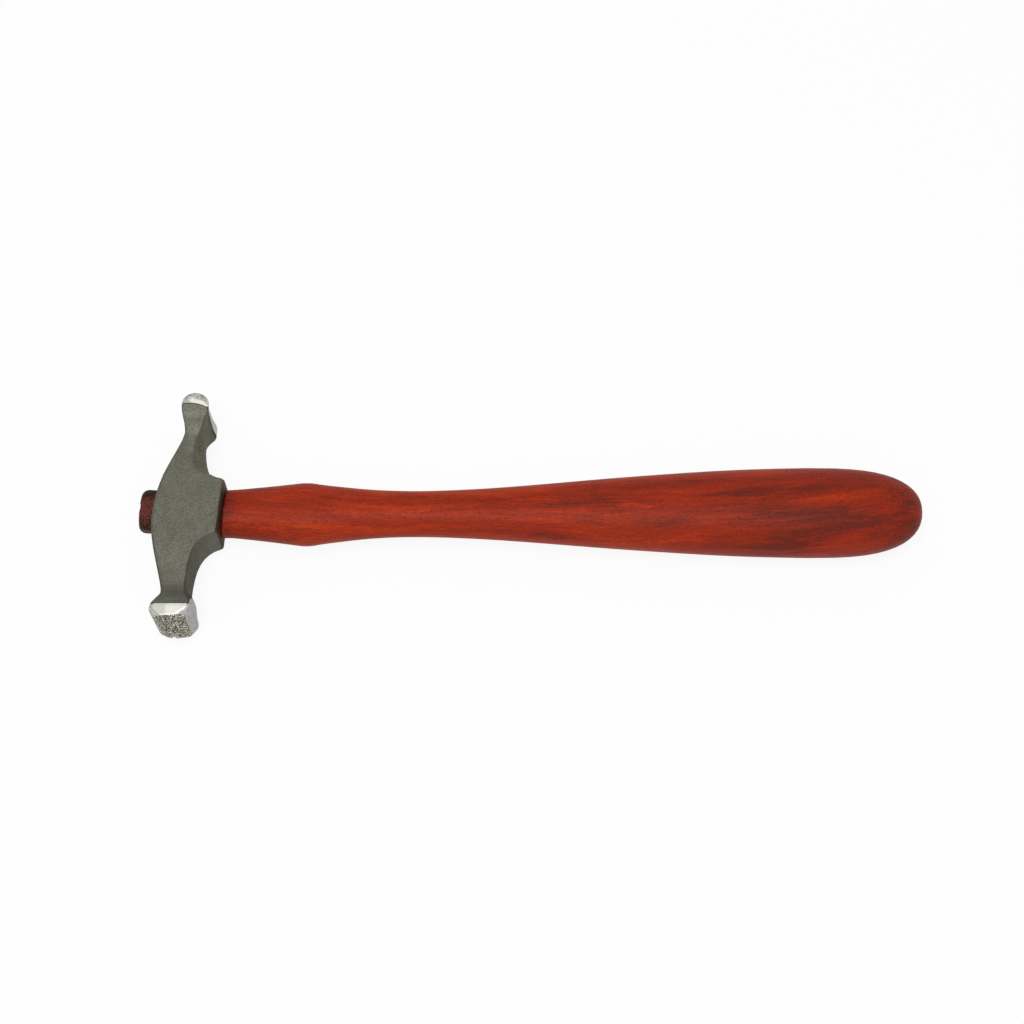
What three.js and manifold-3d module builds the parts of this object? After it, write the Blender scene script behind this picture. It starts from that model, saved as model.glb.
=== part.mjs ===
// A jeweller's raising hammer with two striking ends, lying on its side. A dark cast-steel head with
// polished cross faces is hung on a swelled hardwood handle. The tenon is split by a saw kerf and
// spread in the eye by a hardwood wedge, which a barbed steel wedge locks from across.
// Millimetres. +X runs from the head to the butt, +Y to the narrow peen and +Z up off the bench.
// The origin is on the bench, under the middle of the hammer.

import * as THREE from "three";
import { mergeVertices } from "three/addons/utils/BufferGeometryUtils.js";
import Module from "manifold-3d";

// The head's own frame has its origin in the middle of the eye, x towards the handle, y towards the
// narrow peen and z across the cheeks.
const PEEN = {
  crest: 36.3, // middle of the eye to the crest of the narrow peen
  radius: 4.2, // half-round of its striking edge
  offset: 1.05, // how far its crest lies towards the handle
  wall: 3, // length of the flat walls below the half-round
  crown: 0.7, // drop of the crest from its middle to its ends
  hollow: 0.8, // how far both its flanks are drawn in between the cheeks
};
const FACE = {
  crest: 39.2, // middle of the eye to the crest of the broad face
  radius: 5.4, // sweep of its striking face
  outer: 5.2, // striking edge on the side away from the handle
  inner: 4.5, // striking edge on the handle's side
  outerFlare: 6.35, // widest point of the block on each side, and how far above the striking edge
  outerRise: 2.4,
  innerFlare: 5.95,
  innerRise: 3.8,
  wall: 3.6, // length of the flat walls beside the striking face
  crown: 3.1, // drop of its middle line towards both cheeks
  swell: 1.5, // how far the handle's side of its flare stands out between the cheeks
};
const ENDS_WIDTH = 22; // both striking ends, across the cheeks
const BOSS = {
  reach: 11.5, // middle of the eye to the foot of the flat that faces the handle
  leanDegrees: 1.8, // by which that flat leans out towards its top
  top: 9, // its corner on the peen's side
  foot: 8.4, // its corner on the face's side
  corner: 0.7, // rounding of both corners
  slope: 0.6, // fall of its top from the fillet to the corner
  land: 2, // length of that fall
  cheeks: 17.4, // thickness over the flat cheeks
  cheekRun: 11, // how far the flat cheeks run from the middle of the eye
};
const CROWN = { back: 9, at: -3.6 }; // the bulge of the head's back behind the eye
const PEEN_NECK = { at: 23.6, outer: 1.75, inner: 3.7, thickness: 16 };
const FOLD = { at: 17.2, reach: 1.9 }; // narrowest point of the cheeks, between the peen and the boss
const FACE_NECK = { at: 24.6, outer: 3.5, inner: 3.4, thickness: 15.8, outerLag: 3.6 };
// Rounding of the head's long edges
const EDGE_ROUND = { crisp: 0.5, fold: 0.7, boss: 1.3, back: 0.9, flare: 1, block: 2.8 };
const CANT_DEGREES = 3; // the peen leans towards the handle

const EYE = {
  mouthHeight: 14.3, // long way of the oval at its outer mouth
  mouthWidth: 10.4,
  throatHeight: 13.4, // where it is narrowest
  throatWidth: 9.4,
  throatAt: 3, // towards the handle from the middle of the eye
};

const HANDLE = {
  length: 213.3, // boss to butt
  neckHeight: 15.1,
  neckDepth: 11.4,
  knuckleHeight: 19.7,
  knuckleDepth: 14.6,
  knuckleAt: 24.6, // from the boss
  waistHeight: 14.2,
  waistDepth: 12.4,
  waistAt: 60,
  bellyHeight: 28,
  bellyDepth: 22,
  bellyAt: 178,
  neckDrift: -0.2, // how far its middle line strays towards the peen on the way
  knuckleDrift: -0.4,
  waistDrift: -0.2,
  bellyDrift: 0.15,
  buttDrift: 0.55,
};
const TENON = { stand: 4.8, round: 2.1 }; // how far it stands out of the head, and its eased end
const WOOD_WEDGE = { length: 17, butt: 2.5, tip: 0.9 };
const STEEL_WEDGE = { length: 10.5, butt: 1.7, tip: 0.6, width: 6.6, barbs: 3, barb: 0.15, inset: 0.5 };
const KERF_RELIEF = 1.2; // empty end of the saw kerf beyond the wedge's tip
const GLUE_GAP = 0.25; // between the wood and the head
const WEDGE_GAP = 0.15; // on each side of a wedge
const OVERRUN = 2; // how far every cutter passes the surface that it cuts

// Shares, chosen by eye, of the spans that they follow. A pull has four: how far a curve leaves its
// start along x and along y, and how far it arrives at its end along x and along y.
const EVEN_shares = [0, 0.42, 0, 0.42];
const STRAIGHT_shares = [0.33, 0.33, 0.33, 0.33];
const PEEN_FLARE_shares = [0, 0.32, 0, 0.55];
const PEEN_OUTER_shares = [0, 0.34, 0, 0.36];
const FILLET_shares = [0.04, 0.5, 0.5, 0.03];
const FOLD_UPPER_shares = [0.5, 0.2, 0, 0.4];
const FOLD_LOWER_shares = [0, 0.7, 0.62, 0.08];
const CORNER_TOP_shares = [0.8, 0.35, 0, 0.5];
const CORNER_FOOT_shares = [0, 0.5, 0.7, 0.3];
const SWEEP_shares = [0.77, 0.12, 0, 0.61];
const INNER_FLARE_shares = [0, 0.6, 0, 0.25];
const OUTER_FLARE_shares = [0, 0.25, 0, 0.3];
const GROUND_shares = [0, 0.4, 0.5, 0.4];
const FLARE_MIDDLE_share = 0.46; // of the way from the neck to the walls beside the striking face
const BACK_UPPER_shares = [0.02, 0.17, 0, 0.48];
const BACK_LOWER_shares = [0, 0.36, 0.3, 0.33];
const SWELL_shares = [[0.14, 0.085], [0.28, 0.25], [0.5, 0.565], [0.72, 0.83], [0.87, 0.95]];
const WAIST_FALL_shares = [[0.06, 0.02], [0.22, 0.33], [0.6, 0.85]];
const NECK_RISE_shares = [[0.13, 0.02], [0.55, 0.47], [0.94, 0.97]];
const BUTT_POWER = { along: 3, across: 2.3 }; // 2 and 2 would round the butt as an ellipse
const FLANK_POWER = 3; // of the curve that a swollen or hollow flank follows between the cheeks
const GRIP_POWER = 2.15; // the handle's sections are ovals a little fuller than an ellipse

// Smoothness
const EDGE_STEPS = 8;
const ARC_STEPS = 7;
const CORNER_STEPS = 4;
const SIDE_STEPS = 6;
const OVAL_STEPS = 40;
const SPAN_STEPS = 4;
const BUTT_STEPS = 13;
const NARROWEST_share = 0.14; // of the striking edge's half width, where its last ring is closed
const MERGE_DISTANCE = 1e-4;

const steel = new THREE.MeshStandardMaterial({ color: 0x6c6b62, roughness: 0.62, metalness: 0.75 });
const redWood = new THREE.MeshStandardMaterial({ color: 0xa5321a, roughness: 0.48, metalness: 0 });
const darkWood = new THREE.MeshStandardMaterial({ color: 0x6b3a26, roughness: 0.6, metalness: 0 });
const brightSteel = new THREE.MeshStandardMaterial({ color: 0x9a9a98, roughness: 0.4, metalness: 1 });

const wasm = await Module();
wasm.setup();

const half = (size) => size / 2;
const between = (from, to, share) => from + (to - from) * share;

// A closed geometry as a solid that can be cut and joined
function solidOf(geometry) {
  const bare = geometry.index ? geometry.toNonIndexed() : geometry.clone();
  bare.deleteAttribute("normal");
  bare.deleteAttribute("uv");
  const merged = mergeVertices(bare, MERGE_DISTANCE);
  return new wasm.Manifold(
    new wasm.Mesh({
      numProp: 3,
      vertProperties: merged.attributes.position.array,
      triVerts: Uint32Array.from(merged.index.array),
    }),
  );
}

function meshOf(name, solid, material) {
  const made = solid.getMesh();
  const geometry = new THREE.BufferGeometry();
  geometry.setAttribute("position", new THREE.BufferAttribute(made.vertProperties, made.numProp));
  geometry.setIndex(new THREE.BufferAttribute(made.triVerts, 1));
  const flat = geometry.toNonIndexed();
  flat.computeVertexNormals();
  const mesh = new THREE.Mesh(flat, material);
  mesh.name = name;
  return mesh;
}

// Skins rings of equally many points, and closes both ends with a fan around a tip
function loft(rings, firstTip, lastTip) {
  const size = rings[0].length;
  const points = [...rings.flat(), firstTip, lastTip];
  const index = [];
  for (let r = 0; r + 1 < rings.length; r++)
    for (let i = 0; i < size; i++) {
      const next = (i + 1) % size;
      const a = r * size + i;
      const b = r * size + next;
      index.push(a, b, b + size, a, b + size, a + size);
    }
  const last = (rings.length - 1) * size;
  const tips = rings.length * size;
  for (let i = 0; i < size; i++) {
    const next = (i + 1) % size;
    index.push(tips, next, i, tips + 1, last + i, last + next);
  }
  const geometry = new THREE.BufferGeometry().setFromPoints(points);
  geometry.setIndex(index);
  return solidOf(geometry);
}

// One long edge of the head: curves laid end to end from the peen to the face. Each row holds where a
// curve ends and its pulls. The edge is then read as the distance from the axis at a given height.
function edge(startX, startY, rows) {
  const path = new THREE.Path().moveTo(startX, startY);
  let x = startX;
  let y = startY;
  for (const [endX, endY, [leaveX, leaveY, arriveX, arriveY]] of rows) {
    path.bezierCurveTo(
      between(x, endX, leaveX),
      between(y, endY, leaveY),
      between(endX, x, arriveX),
      between(endY, y, arriveY),
      endX,
      endY,
    );
    [x, y] = [endX, endY];
  }
  const points = path.getPoints(EDGE_STEPS);
  const at = (height) => {
    const i = points.findIndex((p, k) => k > 0 && p.y <= height);
    const [above, below] = [points[i - 1], points[i]];
    const share = (above.y - height) / (above.y - below.y);
    return between(above.x, below.x, share);
  };
  return { at, heights: points.map((p) => p.y) };
}

// Where the ground ends begin, below the peen's half-round and above the face's sweep, and how far
// the boss reaches at a height
const peenLine = PEEN.crest - PEEN.radius;
const bossLean = THREE.MathUtils.degToRad(BOSS.leanDegrees);
const bossReach = (height) => BOSS.reach + (height + BOSS.foot) * Math.tan(bossLean);
const faceMiddle = half(FACE.inner - FACE.outer);
const faceHalf = half(FACE.inner + FACE.outer);
const faceDrop = FACE.radius - Math.sqrt(FACE.radius ** 2 - faceHalf ** 2);
const faceLine = -(FACE.crest - faceDrop);

// The head's long edges. On the handle's side, inner is how far it reaches between the cheeks, and
// fold is where it meets them: above the boss the cheeks are narrower than the body.
function headEdges() {
  const bossTop = BOSS.top + BOSS.slope;
  const wallTop = faceLine + FACE.wall;
  const flareMiddle = between(-FACE_NECK.at, wallTop, FLARE_MIDDLE_share);
  const bossDown = [
    [bossReach(BOSS.top - BOSS.corner), BOSS.top - BOSS.corner, CORNER_TOP_shares],
    [bossReach(BOSS.corner - BOSS.foot), BOSS.corner - BOSS.foot, STRAIGHT_shares],
    [BOSS.reach - BOSS.corner, -BOSS.foot, CORNER_FOOT_shares],
    [FACE_NECK.inner, -FACE_NECK.at, SWEEP_shares],
    [FACE.innerFlare, faceLine + FACE.innerRise, INNER_FLARE_shares],
    [FACE.inner, faceLine, GROUND_shares],
  ];
  const inner = edge(PEEN.offset + PEEN.radius, peenLine, [
    [PEEN_NECK.inner, PEEN_NECK.at, PEEN_FLARE_shares],
    [bossReach(BOSS.top) - BOSS.land - BOSS.corner, bossTop, FILLET_shares],
    [bossReach(BOSS.top) - BOSS.corner, BOSS.top, STRAIGHT_shares],
    ...bossDown,
  ]);
  const fold = edge(PEEN.offset + PEEN.radius, peenLine, [
    [PEEN.offset + PEEN.radius, peenLine - PEEN.wall, STRAIGHT_shares],
    [FOLD.reach, FOLD.at, FOLD_UPPER_shares],
    [bossReach(BOSS.top) - BOSS.corner, BOSS.top, FOLD_LOWER_shares],
    ...bossDown,
  ]);
  const outer = edge(PEEN.offset - PEEN.radius, peenLine, [
    [-PEEN_NECK.outer, PEEN_NECK.at, PEEN_OUTER_shares],
    [-CROWN.back, CROWN.at, BACK_UPPER_shares],
    [-FACE_NECK.outer, -FACE_NECK.at - FACE_NECK.outerLag, BACK_LOWER_shares],
    [-FACE.outerFlare, faceLine + FACE.outerRise, OUTER_FLARE_shares],
    [-FACE.outer, faceLine, GROUND_shares],
  ]);
  const depth = edge(half(ENDS_WIDTH), peenLine, [
    [half(ENDS_WIDTH), peenLine - PEEN.wall, STRAIGHT_shares],
    [half(PEEN_NECK.thickness), PEEN_NECK.at, PEEN_FLARE_shares],
    [half(BOSS.cheeks), BOSS.cheekRun, EVEN_shares],
    [half(BOSS.cheeks), -BOSS.cheekRun, STRAIGHT_shares],
    [half(FACE_NECK.thickness), -FACE_NECK.at, EVEN_shares],
    [half(ENDS_WIDTH), wallTop, EVEN_shares],
    [half(ENDS_WIDTH), faceLine, STRAIGHT_shares],
  ]);
  const innerRound = edge(EDGE_ROUND.crisp, peenLine, [
    [EDGE_ROUND.fold, PEEN_NECK.at, EVEN_shares],
    [EDGE_ROUND.fold, half(PEEN_NECK.at + BOSS.top), STRAIGHT_shares],
    [EDGE_ROUND.boss, BOSS.top, EVEN_shares],
    [EDGE_ROUND.boss, -BOSS.foot, STRAIGHT_shares],
    [EDGE_ROUND.crisp, -BOSS.foot - BOSS.land, EVEN_shares],
    [EDGE_ROUND.crisp, -FACE_NECK.at, STRAIGHT_shares],
    [EDGE_ROUND.flare, wallTop, EVEN_shares],
    [EDGE_ROUND.block, faceLine, EVEN_shares],
  ]);
  const outerRound = edge(EDGE_ROUND.crisp, peenLine, [
    [EDGE_ROUND.back, PEEN_NECK.at, EVEN_shares],
    [EDGE_ROUND.back, -FACE_NECK.at, STRAIGHT_shares],
    [EDGE_ROUND.flare, wallTop, EVEN_shares],
    [EDGE_ROUND.block, faceLine, EVEN_shares],
  ]);
  const outerSwell = edge(-PEEN.hollow, peenLine, [
    [0, PEEN_NECK.at, EVEN_shares],
    [0, faceLine, STRAIGHT_shares],
  ]);
  const innerSwell = edge(-PEEN.hollow, peenLine, [
    [0, PEEN_NECK.at, EVEN_shares],
    [0, -FACE_NECK.at, STRAIGHT_shares],
    [FACE.swell, flareMiddle, EVEN_shares],
    [0, wallTop, EVEN_shares],
    [0, faceLine, STRAIGHT_shares],
  ]);
  return { inner, fold, outer, depth, innerRound, outerRound, innerSwell, outerSwell };
}

// The head's section at one height is a block with rounded corners. Its sides can swell between the
// cheeks, and it can sag towards both of them. A section without a fold reaches as far at the cheeks.
function headRing(height, section) {
  const { outer, depth, outerSwell, sag = 0 } = section;
  const inner = section.fold ?? section.inner;
  const innerSwell = section.innerSwell + section.inner - inner;
  const roundest = half(inner - outer) * (1 - NARROWEST_share);
  const ro = Math.min(section.outerRound, roundest);
  const ri = Math.min(section.innerRound, roundest);
  const corners = [
    [inner - ri, depth - ri, ri],
    [outer + ro, depth - ro, ro],
    [outer + ro, ro - depth, ro],
    [inner - ri, ri - depth, ri],
  ];
  const flat = [];
  corners.forEach(([x, z, r], quarter) => {
    for (let k = 0; k <= CORNER_STEPS; k++) {
      const angle = half(Math.PI) * (quarter + k / CORNER_STEPS);
      flat.push([x + r * Math.cos(angle), z + r * Math.sin(angle)]);
    }
    const wall = flat.at(-1)[0];
    const swell = quarter === 1 ? -outerSwell : innerSwell;
    if (quarter % 2 === 1)
      for (let k = 1; k < SIDE_STEPS; k++) {
        const share = k / SIDE_STEPS;
        flat.push([wall + swell * (1 - Math.abs(2 * share - 1) ** FLANK_POWER), between(z, -z, share)]);
      }
  });
  return flat.map(([x, z]) => new THREE.Vector3(x, height - sag * (z / depth) ** 2, z));
}

// The rings over a striking edge, from the ground walls up to its crest
function strikingRings(end, middle, reach, side, round, swell) {
  const rings = [];
  const widest = Math.asin(reach / end.radius);
  for (let k = 1; k <= ARC_STEPS; k++) {
    const angle = widest * between(1, NARROWEST_share, k / ARC_STEPS);
    const width = end.radius * Math.sin(angle);
    const height = side * (end.crest - end.radius * (1 - Math.cos(angle)));
    const rise = (Math.cos(angle) - Math.cos(widest)) / (1 - Math.cos(widest));
    const section = {
      outer: middle - width,
      inner: middle + width,
      depth: half(ENDS_WIDTH),
      outerRound: round,
      innerRound: round,
      outerSwell: (swell * width) / reach,
      innerSwell: (swell * width) / reach,
      sag: side * end.crown * rise,
    };
    rings.push(headRing(height, section));
  }
  return rings;
}

function headBody() {
  const edges = headEdges();
  const sectionAt = (height) =>
    Object.fromEntries(Object.entries(edges).map(([name, line]) => [name, line.at(height)]));
  const peen = strikingRings(PEEN, PEEN.offset, PEEN.radius, 1, EDGE_ROUND.crisp, -PEEN.hollow);
  const face = strikingRings(FACE, faceMiddle, faceHalf, -1, EDGE_ROUND.block, 0);
  const body = edges.inner.heights.map((height) => headRing(height, sectionAt(height)));
  const peenTip = new THREE.Vector3(PEEN.offset, PEEN.crest, 0);
  const faceTip = new THREE.Vector3(faceMiddle, -FACE.crest, 0);
  return loft([...peen.reverse(), ...body, ...face], peenTip, faceTip);
}

// An oval across the x axis. A power above 2 makes it fuller than an ellipse.
function oval(x, height, width, power = 2) {
  const ring = [];
  const fuller = (value) => Math.sign(value) * Math.abs(value) ** (2 / power);
  for (let k = 0; k < OVAL_STEPS; k++) {
    const angle = (2 * Math.PI * k) / OVAL_STEPS;
    const y = half(height) * fuller(Math.cos(angle));
    ring.push(new THREE.Vector3(x, y, half(width) * fuller(Math.sin(angle))));
  }
  return ring;
}

function gripSection(x, height, depth, drift) {
  return oval(x, height, depth, GRIP_POWER).map((point) => point.setY(point.y + drift));
}

// The eye narrows from its outer mouth to a throat, so that the spread tenon can't pull out
const eyeMouth = -CROWN.back;
const throatShare = (x) => THREE.MathUtils.smoothstep(x, eyeMouth, EYE.throatAt);
const eyeHeight = (x) => between(EYE.mouthHeight, EYE.throatHeight, throatShare(x));
const eyeWidth = (x) => between(EYE.mouthWidth, EYE.throatWidth, throatShare(x));

// A solid that fills the eye from one x to another, smaller all round by a gap
function eyeFilling(from, to, gap, roundedEnd) {
  const rings = [];
  const steps = OVAL_STEPS / 2;
  for (let k = 0; k <= steps; k++) {
    const x = between(from + roundedEnd, to, k / steps);
    rings.push(oval(x, eyeHeight(x) - 2 * gap, eyeWidth(x) - 2 * gap));
  }
  for (let k = 1; roundedEnd && k <= CORNER_STEPS; k++) {
    const angle = (half(Math.PI) * k) / CORNER_STEPS;
    const inset = 2 * (gap + roundedEnd * (1 - Math.cos(angle)));
    const x = from + roundedEnd * (1 - Math.sin(angle));
    rings.unshift(oval(x, eyeHeight(x) - inset, eyeWidth(x) - inset));
  }
  return loft(rings, new THREE.Vector3(from, 0, 0), new THREE.Vector3(to, 0, 0));
}

// A plate that tapers along x from its butt to its tip, flat on both other sides
function taper(from, length, butt, tip, width) {
  const outline = new THREE.Shape();
  outline.moveTo(from, -half(butt));
  outline.lineTo(from + length, -half(tip));
  outline.lineTo(from + length, half(tip));
  outline.lineTo(from, half(butt));
  const plate = new THREE.ExtrudeGeometry(outline, { depth: width, bevelEnabled: false });
  plate.translate(0, 0, -half(width));
  return plate;
}

// The tenon's outer end, from which both wedges are driven
const tenonEnd = eyeMouth - TENON.stand;
const steelStart = tenonEnd + STEEL_WEDGE.inset;

// The steel wedge's slot, also through the wooden one. It runs out past the tenon's end.
function steelSlot() {
  const { length, butt, tip, width } = STEEL_WEDGE;
  const growth = (butt - tip) / length;
  const run = STEEL_WEDGE.inset + OVERRUN;
  const wide = butt + growth * run + 2 * WEDGE_GAP;
  const narrow = tip - growth * WEDGE_GAP + 2 * WEDGE_GAP;
  return solidOf(taper(steelStart - run, length + run + WEDGE_GAP, wide, narrow, width + 2 * WEDGE_GAP));
}

// The plate that the wooden wedge is cut from, and with a gap the kerf that takes it
function wedgePlate(gap, relief) {
  const { length, butt, tip } = WOOD_WEDGE;
  const growth = (butt - tip) / length;
  const wide = butt + growth * OVERRUN + 2 * gap;
  const narrow = tip - growth * relief + 2 * gap;
  const width = EYE.mouthHeight + OVERRUN;
  const plate = taper(tenonEnd - OVERRUN, length + OVERRUN + relief, wide, narrow, width);
  plate.rotateX(half(Math.PI));
  return solidOf(plate);
}

function woodWedge() {
  const filling = eyeFilling(tenonEnd, BOSS.reach, GLUE_GAP, TENON.round);
  return wedgePlate(0, 0).intersect(filling).subtract(steelSlot());
}

// Barbs on both flats of the steel wedge, like saw teeth that point back to its butt
function steelWedge() {
  const { length, butt, tip, width, barbs, barb } = STEEL_WEDGE;
  const outline = new THREE.Shape();
  const flank = [];
  for (let k = 0; k < barbs; k++) {
    const start = between(butt, tip, k / barbs);
    const x = steelStart + (length * k) / barbs;
    if (k > 0) flank.push([x, half(start) - barb]);
    flank.push([x, half(start)]);
  }
  flank.push([steelStart + length, half(tip)]);
  flank.forEach(([x, y], k) => (k === 0 ? outline.moveTo(x, -y) : outline.lineTo(x, -y)));
  flank.reverse().forEach(([x, y]) => outline.lineTo(x, y));
  const wedge = new THREE.ExtrudeGeometry(outline, { depth: width, bevelEnabled: false });
  wedge.translate(0, 0, -half(width));
  return solidOf(wedge);
}

// The handle's outline, as rows of distance from the boss, height, depth and drift
function handleStations() {
  const h = HANDLE;
  const neck = [0, h.neckHeight, h.neckDepth, h.neckDrift];
  const knuckle = [h.knuckleAt, h.knuckleHeight, h.knuckleDepth, h.knuckleDrift];
  const waist = [h.waistAt, h.waistHeight, h.waistDepth, h.waistDrift];
  const belly = [h.bellyAt, h.bellyHeight, h.bellyDepth, h.bellyDrift];
  const spans = [
    [neck, knuckle, NECK_RISE_shares],
    [knuckle, waist, WAIST_FALL_shares],
    [waist, belly, SWELL_shares],
  ];
  const rows = [neck];
  for (const [from, to, shares] of spans) {
    for (const [along, rise] of shares)
      rows.push([along, rise, rise, rise].map((share, k) => between(from[k], to[k], share)));
    rows.push(to);
  }
  return rows;
}

// Smooth values between the stations, by their order
function smoothed(rows, column) {
  const line = new THREE.SplineCurve(rows.map((row, k) => new THREE.Vector2(k, row[column])));
  return line.getPoints(SPAN_STEPS * (rows.length - 1)).map((point) => point.y);
}

function handleBody() {
  const rows = handleStations();
  const [alongs, heights, depths, drifts] = rows[0].map((_, column) => smoothed(rows, column));
  const boss = bossReach(0) + GLUE_GAP;
  const { bellyAt, bellyHeight, bellyDepth, bellyDrift, buttDrift, length } = HANDLE;
  const rings = alongs.map((along, k) => gripSection(boss + along, heights[k], depths[k], drifts[k]));
  for (let k = 1; k < BUTT_STEPS; k++) {
    const angle = (half(Math.PI) * k) / BUTT_STEPS;
    const along = bellyAt + (length - bellyAt) * Math.sin(angle) ** (2 / BUTT_POWER.along);
    const left = Math.cos(angle) ** (2 / BUTT_POWER.across);
    const drift = between(buttDrift, bellyDrift, left);
    rings.push(gripSection(boss + along, bellyHeight * left, bellyDepth * left, drift));
  }
  const buried = gripSection(boss - OVERRUN, heights[0], depths[0], drifts[0]);
  const firstTip = new THREE.Vector3(boss - OVERRUN, drifts[0], 0);
  const lastTip = new THREE.Vector3(boss + length, buttDrift, 0);
  return loft([buried, ...rings], firstTip, lastTip);
}

// Everything that fits the eye is drawn in the head's frame. This turns it into the handle's.
const cant = new THREE.Matrix4().makeRotationZ(-THREE.MathUtils.degToRad(CANT_DEGREES));

// The slanting face that the boss leaves on the handle's end, with the room in front of it
function bossRoom() {
  const reach = HANDLE.knuckleHeight;
  const room = new THREE.BoxGeometry(reach, 2 * reach, 2 * reach);
  room.translate(GLUE_GAP - half(reach), 0, 0);
  room.rotateZ(-bossLean);
  room.translate(bossReach(0), 0, 0);
  room.applyMatrix4(cant);
  return solidOf(room);
}

function handle() {
  const buried = BOSS.reach + GLUE_GAP + OVERRUN;
  const tenon = eyeFilling(tenonEnd, buried, GLUE_GAP, TENON.round);
  const split = tenon.subtract(wedgePlate(WEDGE_GAP, KERF_RELIEF)).subtract(steelSlot());
  const turned = split.transform(cant.elements);
  return handleBody().subtract(bossRoom()).add(turned);
}

function head() {
  const eye = eyeFilling(eyeMouth - OVERRUN, BOSS.reach + OVERRUN, 0, 0);
  return headBody().subtract(eye);
}

// Assembly. The head and its wedges share the cant, and the whole lies on the bench.
const hammer = new THREE.Group();
const hung = new THREE.Group();
hung.rotation.z = -THREE.MathUtils.degToRad(CANT_DEGREES);
hung.add(
  meshOf("hammer_head", head(), steel),
  meshOf("wood_wedge", woodWedge(), darkWood),
  meshOf("steel_wedge", steelWedge(), brightSteel),
);
hammer.add(hung, meshOf("handle", handle(), redWood));

const bounds = new THREE.Box3().setFromObject(hammer, true);
const middle = bounds.getCenter(new THREE.Vector3());
hammer.position.set(-middle.x, -middle.y, -bounds.min.z);

export default hammer;
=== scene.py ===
# %% [markdown]
# # A raising hammer on its side
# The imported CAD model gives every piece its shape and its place. This lesson gives the pieces their
# skins: blasted cast steel, ground bright steel, a pebbled striking face and an oiled red hardwood.
# Everything is in metres in the CAD model's own frame: X runs along the handle to its butt, Y to the
# narrow peen, and Z up off the bench.

import math

import bmesh
import bpy
from mathutils import Matrix, Vector, noise


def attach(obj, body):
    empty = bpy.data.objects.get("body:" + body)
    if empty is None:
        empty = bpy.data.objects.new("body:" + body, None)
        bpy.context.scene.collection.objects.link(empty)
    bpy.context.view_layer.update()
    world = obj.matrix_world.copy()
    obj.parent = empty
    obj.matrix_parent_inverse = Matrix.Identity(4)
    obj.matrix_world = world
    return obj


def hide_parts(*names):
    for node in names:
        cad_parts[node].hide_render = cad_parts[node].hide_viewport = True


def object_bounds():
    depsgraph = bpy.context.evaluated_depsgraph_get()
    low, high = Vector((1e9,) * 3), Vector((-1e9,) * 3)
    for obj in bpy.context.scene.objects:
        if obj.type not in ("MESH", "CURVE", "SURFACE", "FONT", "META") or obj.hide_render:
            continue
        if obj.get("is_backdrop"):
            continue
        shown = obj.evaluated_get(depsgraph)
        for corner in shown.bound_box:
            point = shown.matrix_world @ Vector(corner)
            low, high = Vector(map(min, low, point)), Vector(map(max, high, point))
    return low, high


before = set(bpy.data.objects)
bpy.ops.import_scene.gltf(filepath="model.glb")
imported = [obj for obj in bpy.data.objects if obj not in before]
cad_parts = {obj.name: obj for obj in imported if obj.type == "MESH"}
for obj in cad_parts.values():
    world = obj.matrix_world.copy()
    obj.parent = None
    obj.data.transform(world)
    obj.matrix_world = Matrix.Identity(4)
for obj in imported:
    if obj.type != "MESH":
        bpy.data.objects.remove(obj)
cad_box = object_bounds()
scene = bpy.context.scene
scene.view_settings.view_transform = "Standard"
MM = 0.001
print("CAD box in mm:", [[round(c / MM, 2) for c in corner] for corner in cad_box])

# %% [markdown]
# ## The camera
# A camera stands where the photographer's stood: high over the broad face's side, with a long lens,
# so that the hammer is seen almost from above. It is made first, because it fixes what every later
# choice is judged by.

# %% Make the camera
TARGET = Vector((-5.822, 1.956, 11)) * MM
DISTANCE = 680 * MM
ELEVATION = math.radians(70)
LENS_MM = 78.09
SENSOR_MM = 36

camera = bpy.data.objects.new("camera", bpy.data.cameras.new("camera"))
scene.collection.objects.link(camera)
camera.data.lens = LENS_MM
camera.data.sensor_width = SENSOR_MM
camera.location = TARGET + DISTANCE * Vector((0, -math.cos(ELEVATION), math.sin(ELEVATION)))
camera.rotation_euler = (math.pi / 2 - ELEVATION, 0, 0)
scene.camera = camera
print("camera at", [round(c, 4) for c in camera.location])

# %% [markdown]
# ## Writing materials as sums
# A material is a graph of nodes, but most of it is plain arithmetic. The class below wraps one socket
# of that graph. Adding or multiplying two wrapped sockets adds the Math node that does it, so a
# pattern reads like the formula that it is.

# %% Wrap a socket
class Flow:
    """A value that varies over a surface. Arithmetic on it adds Math nodes."""

    def __init__(self, recipe, socket):
        self.recipe = recipe
        self.socket = socket

    def math(self, operation, *others):
        return self.recipe.add("Math", {"operation": operation}, dict(enumerate([self, *others])))

    def __add__(self, other):
        return self.math("ADD", other)

    def __sub__(self, other):
        return self.math("SUBTRACT", other)

    def __mul__(self, other):
        return self.math("MULTIPLY", other)

    def __truediv__(self, other):
        return self.math("DIVIDE", other)

    def __rsub__(self, other):
        return self.recipe.add("Math", {"operation": "SUBTRACT"}, {0: other, 1: self})

    __radd__ = __add__
    __rmul__ = __mul__

    def __abs__(self):
        return self.math("ABSOLUTE")

    def either(self, other):
        return self.math("MAXIMUM", other)

    def rise(self, low, high):
        """0 below low and 1 above high, with a smooth step between."""
        sockets = {"Value": self, "From Min": low, "From Max": high}
        return self.recipe.add("MapRange", {"interpolation_type": "SMOOTHSTEP"}, sockets)

    def fall(self, low, high):
        return 1 - self.rise(low, high)


# %% [markdown]
# A recipe is one material or the world. Its one method for nodes sets what the node is first, and its
# sockets after that, because some settings change which sockets a node has.

# %% Write recipes
NOISE_MIDDLE = 0.5


def tint(red, green, blue):
    """A colour as a screen shows it, from 0 to 255, in the linear values that nodes work with."""
    return (*(((part / 255 + 0.055) / 1.055) ** 2.4 for part in (red, green, blue)), 1)


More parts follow.
